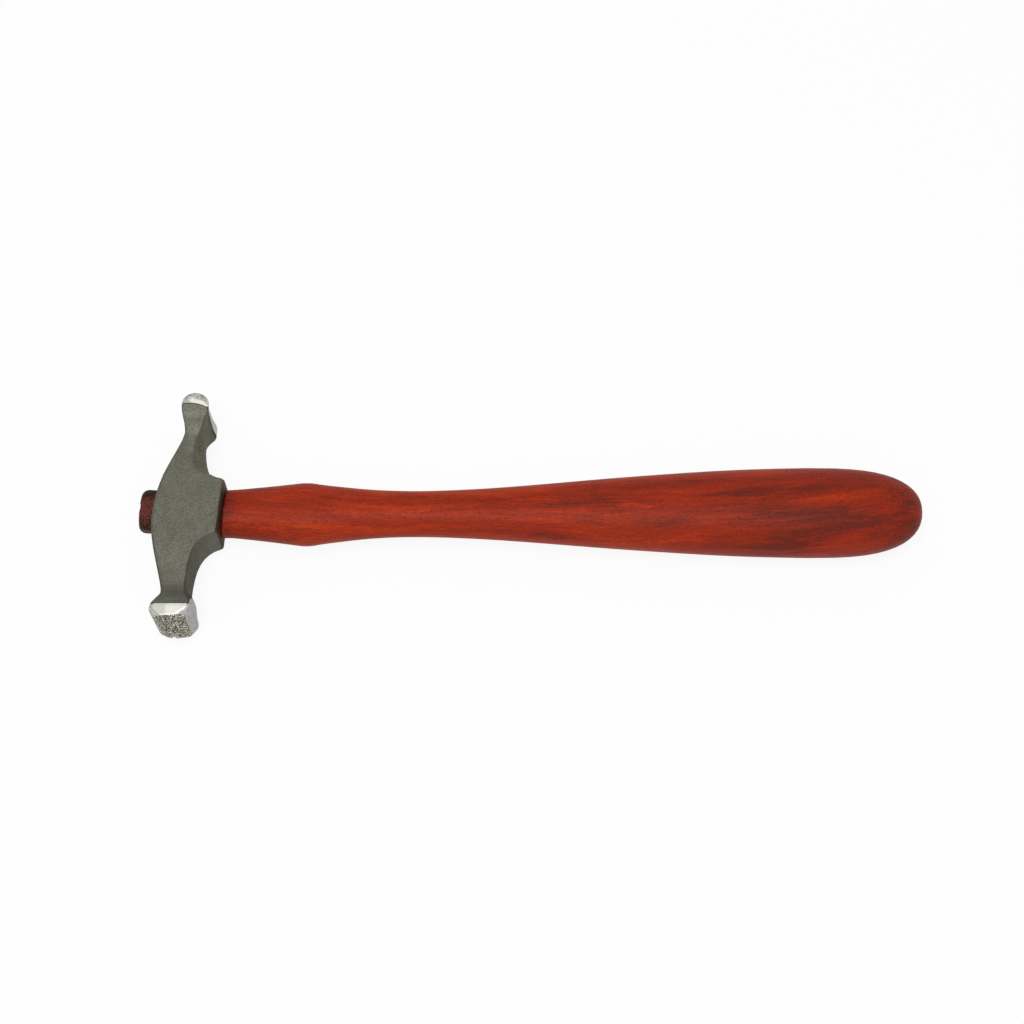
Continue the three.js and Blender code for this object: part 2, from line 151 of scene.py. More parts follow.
class Recipe:
    """The nodes of one material or of the world."""

    def __init__(self, owner):
        owner.use_nodes = True
        self.owner = owner
        self.tree = owner.node_tree
        self.shader = self.tree.nodes.get("Principled BSDF")

    def feed(self, socket, value):
        if isinstance(value, Flow):
            self.tree.links.new(value.socket, socket)
        else:
            socket.default_value = value

    def add(self, kind, settings=None, sockets=None, out=0):
        node = self.tree.nodes.new("ShaderNode" + kind)
        for name, value in (settings or {}).items():
            setattr(node, name, value)
        for name, value in (sockets or {}).items():
            self.feed(node.inputs[name], value)
        return Flow(self, node.outputs[out])

    def finish(self, **sockets):
        """Sets the sockets of the shader, with underscores for the spaces in their names."""
        for name, value in sockets.items():
            self.feed(self.shader.inputs[name.replace("_", " ")], value)
        return self.owner

    def place(self, origin=(0, 0, 0), turn=0):
        """Where a point of the surface lies, in millimetres from an origin, along turned axes."""
        where = self.add("TexCoord", out="Object")
        sockets = {"Vector": where, "Location": [c * MM for c in origin]}
        sockets |= {"Rotation": (0, 0, turn), "Scale": (MM, MM, MM)}
        return self.add("Mapping", {"vector_type": "TEXTURE"}, sockets)

    def axes(self, vector):
        first = self.add("SeparateXYZ", None, {0: vector})
        outputs = first.socket.node.outputs
        return [Flow(self, outputs[name]) for name in "XYZ"]

    def noise(self, place, size, detail=2, out="Fac"):
        """Soft noise whose lumps are about size millimetres long along each axis."""
        scaled = self.add("Mapping", None, {"Vector": place, "Scale": [1 / s for s in size]})
        sockets = {"Vector": scaled, "Scale": 1, "Detail": detail}
        return self.add("TexNoise", None, sockets, out=out)

    def blend(self, share, first, second, mode="MIX"):
        settings = {"data_type": "RGBA", "blend_type": mode}
        return self.add("Mix", settings, {0: share, 6: first, 7: second}, out=2)

    def bump(self, height, depth):
        """A relief whose height of 1 stands depth millimetres proud."""
        sockets = {"Height": height, "Distance": depth * MM, "Strength": 1}
        return self.add("Bump", None, sockets)


def recipe_for(name):
    return Recipe(bpy.data.materials.new(name))


# %% [markdown]
# ## From CAD to a workable mesh
# The CAD model arrives as loose flat triangles: sparse along the straight parts and dense at the
# rounded edges. That is right for an engineer and wrong for a sculptor. A voxel remesh gives every
# square millimetre the same small quads, which can then be smoothed, carved and textured.

# %% Copy and remesh
MERGE_REACH = 0.001 * MM


def copied(name, node):
    """A new piece that starts as a copy of a CAD node, with its loose triangles joined up."""
    bm = bmesh.new()
    bm.from_mesh(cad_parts[node].data)
    bmesh.ops.remove_doubles(bm, verts=bm.verts, dist=MERGE_REACH)
    piece = bpy.data.objects.new(name, bpy.data.meshes.new(name))
    bm.to_mesh(piece.data)
    bm.free()
    scene.collection.objects.link(piece)
    return piece


def remeshed(piece, quad):
    """Covers a piece evenly with quads of this size in millimetres."""
    remesh = piece.modifiers.new("remesh", "REMESH")
    remesh.mode = "VOXEL"
    remesh.voxel_size = quad * MM
    graph = bpy.context.evaluated_depsgraph_get()
    mesh = bpy.data.meshes.new_from_object(piece.evaluated_get(graph))
    piece.modifiers.clear()
    piece.data = mesh


# %% [markdown]
# Plain smoothing shrinks a mesh, and a small piece would lose its size. So each pass that draws the
# vertices together is followed by one that pushes them apart by about as much. Near a crisp edge
# nothing is smoothed but for one such pass, because there the facets are the shape.

# %% Smooth, and hand a piece over
SHRINK = 0.5
SWELL = -0.52


def grown(verts, rings):
    """These vertices and all that lie within so many rings of them."""
    found = set(verts)
    for _ in range(rings):
        found |= {edge.other_vert(v) for v in found for edge in v.link_edges}
    return found


def smoothed(bm, verts, passes):
    """Smooths, and after each pass swells the mesh by as much as the pass has shrunk it."""
    axes = {f"use_axis_{axis}": True for axis in "xyz"}
    for _ in range(passes):
        for factor in (SHRINK, SWELL):
            bmesh.ops.smooth_vert(bm, verts=verts, factor=factor, **axes)


def softened(bm, passes, crisp_angle, keep_rings):
    """Smooths away the CAD facets, and returns the vertices that lie near no crisp edge."""
    crisp = {v for e in bm.edges if e.calc_face_angle(0) > crisp_angle for v in e.verts}
    kept = grown(crisp, keep_rings)
    loose = [v for v in bm.verts if v not in kept]
    smoothed(bm, loose, passes)
    smoothed(bm, bm.verts, 1)
    return loose


def stands_for(piece, node):
    """Ties a piece to the frame: what it moves with, and which CAD node it hides and replaces."""
    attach(piece, "root")
    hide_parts(node)
    for face in piece.data.polygons:
        face.use_smooth = True
    triangles = sum(len(face.vertices) - 2 for face in piece.data.polygons)
    size = [round(c / MM, 1) for c in piece.dimensions]
    print(f"{piece.name}: {triangles} triangles, {size} mm")


# %% [markdown]
# ## The head's own axes
# The head leans three degrees on the handle. Its grinding lines and its pebbled face follow the head,
# so they are described from the middle of the eye: x to the handle, y to the peen, z through the
# cheeks.

# %% Name the head's lines
EYE_MIDDLE = Vector((-105.641, 1.466, 11))
CANT = math.radians(3)
HALF_WIDTH = 11
PEEN_LINE = 32.1
PEEN_MIDDLE = 1.05
WALL_TOP = -32.3

to_head = Matrix.Rotation(CANT, 4, "Z") @ Matrix.Translation(-EYE_MIDDLE) @ Matrix.Scale(1 / MM, 4)
from_head = to_head.inverted()
print("the way to the peen:", [round(c, 3) for c in from_head.col[1].xyz.normalized()])


def step(value, low, high):
    """0 below low and 1 above high, smooth between, for a plain number."""
    share = min(max((value - low) / (high - low), 0), 1)
    return share * share * (3 - 2 * share)


# %% [markdown]
# ## The head
# The real head is an investment casting. Its skin is blasted to an even dull grey, and then both ends
# are ground and polished. The broad face carries a rough pebbled texture that it prints into the
# silver. All of these are shape, so they are carved into the mesh: shallow facets where the grinder
# stopped and started, the pebbles, and the slight waviness of cast metal.

# %% Remesh the head
HEAD_QUAD = 0.3
HEAD_PASSES = 24
HEAD_RINGS = 2
CRISP = math.radians(26)

head = copied("head", "hammer_head")
remeshed(head, HEAD_QUAD)
head_bm = bmesh.new()
head_bm.from_mesh(head.data)
head_bm.transform(to_head)
loose = softened(head_bm, HEAD_PASSES, CRISP, HEAD_RINGS)
print("head:", len(head_bm.verts), "vertices,", len(head_bm.verts) - len(loose), "kept crisp")

# %% [markdown]
# The arms flare quickly to the width of the ends, and a step of the CAD loft shows there as a band
# across the cheek. Passes that only move the cheeks up and down take the bands out.

# %% Smooth the flares
FLARE_FROM = 16
FLARE_TO = 31.8
FLARE_PASSES = 70
CHEEK_FACING = 0.5


def on_flare(v):
    return FLARE_FROM < abs(v.co.y) < FLARE_TO and abs(v.normal.z) > CHEEK_FACING


flares = [v for v in loose if on_flare(v)]
for _ in range(FLARE_PASSES):
    bmesh.ops.smooth_vert(head_bm, verts=flares, factor=SHRINK, use_axis_z=True)
print("flares:", len(flares), "vertices")

# %% [markdown]
# The peen's arm is hollow on the side of the handle. Near the striking end a crisp fold parts the
# hollow from the cheek, and towards the boss the fold runs out softly. That soft part is smoothed, in a
# box that is given by its reach along x, along y and away from the middle. The inner corner where the
# boss meets the arm is filled to a fillet.

# %% Soften the hollow and fill its corner
HOLLOW = [(0, 4.8), (9.5, 19), (3, 10)]
HOLLOW_PASSES = 14
CORNER = Vector((6.9, 10.3))
CORNER_CORE = 0.4
CORNER_REACH = 3.4
CORNER_FILL = Vector((0.3, 0.35, 0))
CORNER_HEIGHT = (3, 6)


def in_hollow(v):
    spot = (v.co.x, v.co.y, abs(v.co.z))
    return all(low < part < high for part, (low, high) in zip(spot, HOLLOW))


hollow = [v for v in head_bm.verts if in_hollow(v)]
smoothed(head_bm, hollow, HOLLOW_PASSES)
for v in head_bm.verts:
    share = 1 - step((v.co.xy - CORNER).length, CORNER_CORE, CORNER_REACH)
    v.co += CORNER_FILL * share * step(abs(v.co.z), *CORNER_HEIGHT)
print("hollow:", len(hollow), "vertices")

# %% [markdown]
# The grinder leaves each bright wall in two flats that meet at a faint ridge, and the peen's cap is
# slightly pillowed towards its rim.

# %% Grind the ends
WALL_SKIN = 0.5
RIDGE_AT = -1.4
RIDGE_SLOPE = math.tan(math.radians(4))
PILLOW_FROM = 2.6
PILLOW = 0.1

walls = [v for v in head_bm.verts if abs(v.co.z) >= HALF_WIDTH - WALL_SKIN]
for v in walls:
    x, y, z = v.co
    if y < WALL_TOP:
        v.co.z -= math.copysign(max(0, RIDGE_AT - x) * RIDGE_SLOPE, z)
    if y > PEEN_LINE:
        rim = max(0, math.hypot(x - PEEN_MIDDLE, y - PEEN_LINE) - PILLOW_FROM)
        v.co.z -= math.copysign(PILLOW * rim**2, z)
print("walls and caps:", len(walls), "vertices")

# %% [markdown]
# The pebbles are cells of a Voronoi pattern. Between two neighbouring cells the nearest and the
# second-nearest cell points are equally far, so the difference of the two distances falls to nothing
# there, and that is where a crevice runs. The cells are stretched and lean, since the texture was cut
# in slanting strokes. Each pebble has a height of its own, which a cell noise draws for its cell point.
# A push by plain noise, read at three places, keeps the rows uneven. Blender also has a noise that gives
# a vector, but that one starts from the clock and differs in each run.

# %% Describe a pebble
PEBBLE = 0.54
PEBBLE_STRETCH = 2.2
PEBBLE_SLANT = 0.34
CREVICE_share = 0.4
LOWEST_share = 0.55
OWN_share = 0.45
PUSH = 0.45
PUSH_FINENESS = 1.1
PUSH_OFFSETS = [Vector((31, 0, 0)), Vector((0, 47, 0)), Vector((0, 0, 59))]
CELL_SPREAD = 7.3


def pebble(point):
    """The height of the pebbled face at a point, from 0 in a crevice to about 1 on a pebble."""
    x, y, z = point
    slanted = Vector((x + PEBBLE_SLANT * z, y, z / PEBBLE_STRETCH))
    push = Vector([noise.noise(point * PUSH_FINENESS + offset) for offset in PUSH_OFFSETS])
    distances, cells = noise.voronoi((slanted + PUSH * push) / PEBBLE)
    top = min((distances[1] - distances[0]) / CREVICE_share, 1)
    own = 0.5 + 0.5 * noise.cell(cells[0] * CELL_SPREAD)
    return top * (LOWEST_share + OWN_share * own)


row = [pebble(Vector((count * PEBBLE, 0, 0))) for count in range(8)]
print("heights a pebble's width apart:", [round(height, 2) for height in row])

# %% [markdown]
# The face's quads are halved before the carving, so that each pebble has several. The height is also
# written to an attribute, from which the material will colour the crevices dark and paint glints on
# the tops.

# %% Carve the pebbled face
PEBBLE_DEPTH = 0.26
PEBBLE_LINE = -35.9
PEBBLE_LEAN = 0.12
PEBBLE_FULL = 0.25
PEBBLE_NONE = 0.15
FACE_MARGIN = 1

face_verts = {v for v in head_bm.verts if v.co.y < PEBBLE_LINE + FACE_MARGIN}
face_edges = [e for e in head_bm.edges if face_verts.issuperset(e.verts)]
bmesh.ops.subdivide_edges(head_bm, edges=face_edges, cuts=1, use_grid_fill=True)
head_bm.normal_update()
relief = head_bm.verts.layers.float.new("relief")
moves = {}
for v in head_bm.verts:
    edge = PEBBLE_LINE + PEBBLE_LEAN * v.co.x * (v.co.z / HALF_WIDTH) ** 2
    share = 1 - step(v.co.y, edge - PEBBLE_FULL, edge + PEBBLE_NONE)
    if share:
        height = pebble(v.co)
        v[relief] = height
        moves[v] = v.normal * (height - 1) * PEBBLE_DEPTH * share
for v, move in moves.items():
    v.co += move
print("pebbled face:", len(moves), "vertices")

# %% [markdown]
# Cast metal is never quite flat. Two sizes of noise move the blasted skin in and out by a few
# hundredths of a millimetre, which is enough to break up a reflection.

# %% Roughen the casting
WAVES = [(5.0, 0.05), (0.8, 0.02)]
GROUND_FADE = 2
GROUND_CALM = 0.85

for v in head_bm.verts:
    peen_end = step(v.co.y, PEEN_LINE - GROUND_FADE, PEEN_LINE)
    broad_end = step(-v.co.y, -WALL_TOP - GROUND_FADE, -WALL_TOP)
    lift = sum(depth * noise.noise(v.co / size) for size, depth in WAVES)
    v.co += v.normal * lift * (1 - GROUND_CALM * max(peen_end, broad_end))
print("head, ready to dress:", len(head_bm.verts), "vertices")
head_bm.transform(from_head)
head_bm.to_mesh(head.data)
head_bm.free()

# %% [markdown]
# Blasted steel is dull because glass beads have dented it all over. Its material needs to know where
# a point lies on the head, and which way the surface faces there. The flank mask is 1 where the
# surface faces along the handle, either way.

# %% Read the head's surface
FLANK_FACING = (0.5, 0.8)
WOBBLE_SIZE = (1.4, 1.4, 1.4)
WOBBLE = 0.35

steel = recipe_for("head_steel")
place = steel.place(EYE_MIDDLE, -CANT)
x, y, z = steel.axes(place)
facing = steel.add("TexCoord", out="Normal")
sideways, lengthways, upwards = (abs(part) for part in steel.axes(facing))
flank = sideways.rise(*FLANK_FACING)
across = (z / HALF_WIDTH) * (z / HALF_WIDTH)
wobble = (steel.noise(place, WOBBLE_SIZE) - NOISE_MIDDLE) * WOBBLE
print("head steel, place and facing:", len(steel.tree.nodes), "nodes")

# %% [markdown]
# The bright areas stop at a line across the cheeks, square to the handle, and at an arch on each
# flank, because a flat wheel cuts a curved flank in an arch. The value called inside is how many
# millimetres a point lies within a bright area, so a mask is only a step of it, and a thin line of
# painted shade is what lies just outside.

# %% Mask the ground steel
LEAN = math.tan(CANT)
ARCH_FACE = 4.3
ARCH_PEEN = 0.9
CAP_LINE = 32.15
CAP_BOW = 0.045
STRIP_LINE = 31.5
STRIP_LEAN = 0.06
GROUND_EDGE = (-0.04, 0.08)
PEBBLE_EDGE = (-0.1, 0.1)
LINE_START = (-0.55, -0.05)
LINE_END = (-0.02, 0.1)
LINE_WIDER_share = 0.75

wall_line = WALL_TOP + LEAN * x + (1 - across) * flank * ARCH_FACE
cap_line = CAP_LINE - CAP_BOW * x * x
strip_line = STRIP_LINE + STRIP_LEAN * z - ARCH_PEEN * across
peen_line = cap_line + flank * (strip_line - cap_line)
inside = (wall_line + wobble - y).either(y - peen_line - wobble)
ground = inside.rise(*GROUND_EDGE)
near = inside * (1 - LINE_WIDER_share * flank)
# A thin line of painted shade just outside each bright area.
shade_line = near.rise(*LINE_START) * inside.fall(*LINE_END)
pebble_line = PEBBLE_LINE + PEBBLE_LEAN * x * across + wobble
pebbled = (pebble_line - y).rise(*PEBBLE_EDGE)
relief_height = steel.add("Attribute", {"attribute_name": "relief"}, out="Fac")
print("head steel, with its masks:", len(steel.tree.nodes), "nodes")

# %% [markdown]
# The blasted skin is a middle grey with a fine mottle of greener and browner patches, made of two
# greys that a noise mixes, with brown patches and dark specks laid over them.

# %% Colour the blasted skin
BLAST_DARK = tint(82, 82, 73)
BLAST_LIGHT = tint(107, 107, 96)
BLAST_BROWN = tint(101, 93, 82)
BLAST_SPECK_AND_SHADE = tint(68, 66, 56)
MOTTLE_SIZE = (4, 4, 4)
MOTTLE_share = 0.2
GRAIN_SIZE = (0.4, 0.4, 0.4)
GRAIN_share = 0.8
MIX_TONES = (0.34, 0.66)
PATCH_SIZE = (3.5, 2.2, 2.2)
PATCH_TONES = (0.5, 0.7)
PATCH_share = 0.3
SPECK_SIZE = (0.5, 0.5, 0.5)
SPECK_TONES = (0.62, 0.72)
SPECK_share = 0.5

mottle = steel.noise(place, MOTTLE_SIZE, detail=4)
grain = steel.noise(place, GRAIN_SIZE)
patches = steel.noise(place, PATCH_SIZE).rise(*PATCH_TONES)
specks = steel.noise(place, SPECK_SIZE).rise(*SPECK_TONES)
mixed = (mottle * MOTTLE_share + grain * GRAIN_share).rise(*MIX_TONES)
blasted = steel.blend(mixed, BLAST_DARK, BLAST_LIGHT)
blasted = steel.blend(patches * PATCH_share, blasted, BLAST_BROWN)
blasted = steel.blend(specks * SPECK_share, blasted, BLAST_SPECK_AND_SHADE)
print("head steel, with its blasted skin:", len(steel.tree.nodes), "nodes")

# %% [markdown]
# Some parts of the skin are lighter or darker as a whole. A tint that multiplies keeps the mottle
# under it, where a plain mix would paint it over. The arm and the slope of the peen get painted light,
# and so do the flanks in the bowls of both arms and the shelf under the boss. The flanks get painted
# shade, most of all on the sweep of the broad end's arm, and they are pitted. The ranges are
# millimetres from the eye, or shares of facing.

# %% Tint the blasted skin
FLANK_SHADE_TINT = tint(240, 239, 232)
PAINTED_LIGHT_TINT = (1.26, 1.26, 1.24, 1)
BOWL_LIGHT_TINT = (1.36, 1.36, 1.34, 1)
SWEEP_SHADE_TINT = tint(236, 235, 232)
SHELF_LIGHT_TINT = (1.2, 1.2, 1.22, 1)
PIT_TINT = tint(226, 225, 222)
LIT_ARM = (13, 25)
SLOPE = (19, 23)
SLOPE_FACING = (0.7, 0.99)
SWEEP_BOWL = (-22, -9)
SWEEP_BOWL_share = 0.45
PEEN_BOWL = (7, 12)
PEEN_BOWL_share = 0.75
SWEEP = (-20, -13)
SHELF = (14, 20)
SHELF_FACING = (0.3, 0.6)
PIT_SIZE = (0.7, 0.7, 0.7)
PIT_TONES = (0.4, 0.6)

pits = steel.noise(place, PIT_SIZE, detail=3)
lit_slope = upwards.fall(*SLOPE_FACING) * y.rise(*SLOPE) * (1 - flank)
bowl_light = y.rise(*SWEEP_BOWL) * SWEEP_BOWL_share + y.rise(*PEEN_BOWL) * PEEN_BOWL_share
shelf_light = lengthways.rise(*SHELF_FACING) * abs(y).fall(*SHELF)
# Painted light lifts the peen's arm, its slope, the bowls and the shelf; painted shade darkens the
# flanks.
tints = [
    (flank, FLANK_SHADE_TINT),
    (y.rise(*LIT_ARM) * (1 - flank), PAINTED_LIGHT_TINT),
    (lit_slope, PAINTED_LIGHT_TINT),
    (flank * bowl_light, BOWL_LIGHT_TINT),
    (flank * y.fall(*SWEEP), SWEEP_SHADE_TINT),
    (shelf_light, SHELF_LIGHT_TINT),
    (pits.rise(*PIT_TONES) * flank, PIT_TINT),
]
for mask, colour in tints:
    blasted = steel.blend(mask, blasted, colour, "MULTIPLY")
print("blasted skin:", len(tints), "tints laid over it")

# %% [markdown]
# Three marks of painted shade are laid over the skin: dark creases where cheek and flank meet, a
# brown shade on the front of the boss, reddened as a painted reflection of the wood, and a dark line
# along each bright area.

# %% Paint shade in the creases, on the front and along the lines
FRONT_SHADE_RED = tint(62, 44, 38)
EDGE_SHADE_LINE = tint(52, 50, 43)
CREASE_START = (0.3, 0.5)
CREASE_END = (0.55, 0.8)
BROAD_CREASE = (-12, -9)
PEEN_CREASE = (16, 19)
CREASE_SHADE_share = 0.5
FRONT_LINE = 10
FRONT_EDGE = (0, 0.7)
FRONT_FACING = (0.3, 0.6)
FRONT_END = (4, 8)
FRONT_SHADE_share = 0.9
SHADE_LINE_share = 0.8

creased = y.fall(*BROAD_CREASE).either(y.rise(*PEEN_CREASE))
crease_shade = sideways.rise(*CREASE_START) * sideways.fall(*CREASE_END) * creased
front_shade = (x - FRONT_LINE).rise(*FRONT_EDGE) * sideways.rise(*FRONT_FACING) * y.fall(*FRONT_END)
# Painted shade: dark creases where cheek and flank meet.
blasted = steel.blend(crease_shade * CREASE_SHADE_share, blasted, BLAST_SPECK_AND_SHADE)
# Painted shade on the front of the boss, reddened as a painted reflection of the wood.
blasted = steel.blend(front_shade * FRONT_SHADE_share, blasted, FRONT_SHADE_RED)
# A thin line of painted shade along each bright area.
blasted = steel.blend(shade_line * SHADE_LINE_share, blasted, EDGE_SHADE_LINE)
print("head steel, with all that is dark:", len(steel.tree.nodes), "nodes")

# %% [markdown]
# Every ground area had its own pass over the wheel, and its own look. The cheek-side walls of the
# broad face were polished last and are nearly white, and the half beyond the ridge is painted greener
# and darker, as a painted reflection of that facet. Its flanks are only belt-ground, to a rough middle
# grey, and the same grey is painted on the rim towards the handle and its corner, as painted shade.
# A wall also gets painted shade where it starts to turn down at its rim, most so on the handle's side.

# %% Colour the broad end
WALL_WHITE = tint(184, 184, 178)
WALL_GREEN_REFLECTION = tint(171, 172, 161)
FLANK_GREY = tint(192, 193, 191)
FLANK_DARK = tint(158, 159, 156)
RIM_SHADE_TINT = tint(222, 218, 213)
RIDGE_COLOUR = (-0.9, 0.1)
RIDGE_WANDER = 1.2
CLOUD_SIZE = (1.3, 0.9, 0.9)
CLOUD_TONES = (0.35, 0.6)
CLOUD_share = 0.1
RUBBED_TONES = (0.36, 0.64)
CORNER_FACING = (0.04, 0.2)
CORNER_FROM = (2, 3.6)
RIM_FACING = (0.04, 0.22)
RIM_SIDE = (-1, 1)
TURNED = (0.97, 0.995)
TURNED_AWAY = (0.8, 0.97)
RIM_LEAST_share = 0.35
RIM_MORE_share = 0.65

cloudy = steel.noise(place, CLOUD_SIZE, detail=3)
# The half beyond the ridge is painted greener, as a painted reflection of that facet.
wall = steel.blend((x + cloudy * RIDGE_WANDER).fall(*RIDGE_COLOUR), WALL_WHITE, WALL_GREEN_REFLECTION)
wall = steel.blend(cloudy.rise(*CLOUD_TONES) * CLOUD_share, wall, FLANK_GREY)
belt_grey_and_rim_shade = steel.blend(pits.rise(*RUBBED_TONES), FLANK_DARK, FLANK_GREY)
# The rim towards the handle and its corner take the flank's grey as painted shade.
corner = lengthways.rise(*CORNER_FACING) * abs(x).rise(*CORNER_FROM)
right = x.rise(*RIM_SIDE)
belt_ground_and_shaded_rim = (sideways.rise(*RIM_FACING).either(corner) * right).either(flank)
wall = steel.blend(belt_ground_and_shaded_rim, wall, belt_grey_and_rim_shade)
# Painted shade where the wall turns down at its rim.
rim_shade = upwards.fall(*TURNED) * upwards.rise(*TURNED_AWAY)
rim_shade = rim_shade * (RIM_LEAST_share + RIM_MORE_share * right)
wall = steel.blend(rim_shade, wall, RIM_SHADE_TINT, "MULTIPLY")
print("head steel, with the broad end:", len(steel.tree.nodes), "nodes")

# %% [markdown]
# The peen's cap is mottled, since the wheel touched it lightly, and has one corner of painted
# highlight with a torn edge. Its strips are pale.

# %% Colour the peen
STRIP_PALE = tint(196, 197, 193)
CAP_DARK = tint(126, 128, 120)
CAP_PALE = tint(184, 186, 174)
CAP_HIGHLIGHT = tint(206, 206, 198)
CAP_TONES = (0.38, 0.62)
CAP_share = 0.75
TORN = 2.5
LIT_FROM = (-1, 0.4)
LIT_TO = (33.6, 34.4)
LIT_LEAN = 0.35
STRIP_FACING = (0.15, 0.5)
PEEN_HALF = (-1, 1)

torn = TORN * (cloudy - NOISE_MIDDLE)
lit_corner = (x + torn).rise(*LIT_FROM) * (y + x * LIT_LEAN + torn).fall(*LIT_TO)
cap = steel.blend(cloudy.rise(*CAP_TONES) * CAP_share, CAP_DARK, CAP_PALE)
# A painted highlight on one corner of the cap.
cap = steel.blend(lit_corner, cap, CAP_HIGHLIGHT)
cap = steel.blend(sideways.rise(*STRIP_FACING), cap, STRIP_PALE)
bright = steel.blend(y.rise(*PEEN_HALF), wall, cap)
print("head steel, with both bright ends:", len(steel.tree.nodes), "nodes")

# %% [markdown]
# The crevices of the texture are coloured dark, and the tops of the pebbles get painted glints.

# %% Colour the pebbles
PEBBLE_FOOT = tint(70, 66, 56)
PEBBLE_MIDDLE = tint(184, 180, 167)
PEBBLE_GLINT = tint(240, 238, 228)
PEBBLE_BROWN = tint(236, 214, 200)
HEIGHT_GRAIN = 0.5
MIDDLE_HEIGHTS = (0.1, 0.6)
GLINT_HEIGHTS = (0.74, 0.92)
PEBBLE_BROWN_share = 0.4

jittered_height = relief_height + (grain - NOISE_MIDDLE) * HEIGHT_GRAIN
pebbles = steel.blend(jittered_height.rise(*MIDDLE_HEIGHTS), PEBBLE_FOOT, PEBBLE_MIDDLE)
# Painted glints on the tops of the pebbles.
pebbles = steel.blend(jittered_height.rise(*GLINT_HEIGHTS), pebbles, PEBBLE_GLINT)
pebbles = steel.blend(patches * PEBBLE_BROWN_share, pebbles, PEBBLE_BROWN, "MULTIPLY")
print("head steel, with its pebbles:", len(steel.tree.nodes), "nodes")

# %% [markdown]
# The finish joins the three areas. Bead dents cover the blasted skin, and long scratches the ground
# areas. Rougher steel spreads a reflection, so the ground walls get the least roughness and the
# belt-ground flanks more. The sheen at a steep angle is kept low, or the dark skin would look wet.

# %% Finish the head
EDGE_SHEEN = tint(205, 205, 200)
STEEL_SHEEN = 0.2
SKIN_DEPTH = 0.06
DENT_SIZE = (0.22, 0.22, 0.22)
SCRATCH_SIZE = (0.12, 3, 3)
SCRATCHED = 0.1
FLANK_SCRATCHED = 0.25
BLASTED_METAL = 0.8
GROUND_METAL = 0.2
BLASTED_ROUGH = 0.6
GROUND_SMOOTHER = 0.18
BESIDE_ROUGHER = 0.16
PEBBLE_ROUGHER = 0.02

dents = steel.noise(place, DENT_SIZE)
scratches = steel.noise(place, SCRATCH_SIZE)
scratched = scratches * ground * (SCRATCHED + FLANK_SCRATCHED * flank)
smoother = GROUND_SMOOTHER - BESIDE_ROUGHER * belt_ground_and_shaded_rim * y.fall(*PEEN_HALF)
head.data.materials.clear()
head.data.materials.append(
    steel.finish(
        Base_Color=steel.blend(pebbled, steel.blend(ground, blasted, bright), pebbles),
        Metallic=BLASTED_METAL + GROUND_METAL * ground,
        Roughness=BLASTED_ROUGH - ground * smoother + PEBBLE_ROUGHER * pebbled,
        Specular_IOR_Level=STEEL_SHEEN,
        Specular_Tint=EDGE_SHEEN,
        Normal=steel.bump(dents * (1 - ground) + scratched, SKIN_DEPTH),
    )
)
stands_for(head, "hammer_head")

# %% [markdown]
# ## The handle
# The handle is one stick of padauk, turned and rasped to a long swelling grip. Its end goes right
# through the head, and is split there for the wedges. The wood is smooth under its oil, so the work
# is in the material, and the mesh only has to be free of facets.

# %% Make the handle
HANDLE_QUAD = 0.45
HANDLE_PASSES = 20
HANDLE_RINGS = 1

handle = copied("grip", "handle")
remeshed(handle, HANDLE_QUAD)
handle_bm = bmesh.new()
handle_bm.from_mesh(handle.data)
loose = softened(handle_bm, HANDLE_PASSES, CRISP, HANDLE_RINGS)
print("handle:", len(handle_bm.verts), "vertices,", len(handle_bm.verts) - len(loose), "kept crisp")
handle_bm.to_mesh(handle.data)
handle_bm.free()

# %% [markdown]
# Padauk is orange to blood red, with long dark streaks that run and fade along the stick, a slow
# figure of lighter and darker patches, and open pores that show as fine dark dashes. Each of these is
# a noise stretched along the stick. The stick was cut a little across its grain, which bends towards
# the peen's side at both ends. A slow sideways push, the wander, keeps the streaks from being ruled
# lines.

# %% Name the wood's patterns
BEND = 2.0
BEND_MIDDLE = 10
BEND_REACH = 70
WANDER_SIZE = (60, 14, 14)
WANDER = (0, 9, 9)
FIGURE_SIZE = (46, 7, 7)
FIGURE = 0.6
STREAK_SIZE = (24, 1.2, 1.2)
STREAK = 0.3
THREAD_SIZE = (6, 0.4, 0.4)
THREAD = 0.26
FLECK_SIZE = (0.9, 0.4, 0.4)
FLECK = 0.32
PORE_SIZE = (2.2, 0.2, 0.2)
PORE_TONES = (0.62, 0.74)
PORE_share = 0.28
TONE_LIFT = 0.05
BUTT = (0, 130)
BUTT_DARKER = 0.09
STREAK_TEAR = 1.3
THREAD_TEAR = 0.8
LENS_EDGE = (-0.2, 1.5)
MIDDLE_TONES = (0.34, 0.66)
LIGHT_TONES = (0.6, 0.84)


def bend(x):
    """How far the grain has bent to the peen's side at x, in millimetres, for a number or a flow."""
    share = (x - BEND_MIDDLE) / BEND_REACH
    return share * share * BEND


print("at the butt the grain has bent by", round(bend(BUTT[1]), 1), "mm")

# %% [markdown]
# A listed streak is a long soft lens in the wood. The length of a point's place from the middle
# of the lens, counted in its reaches, says how far out the point lies. Noise is added to that length,
# so that the lens has a torn edge and doesn't look like a lens.

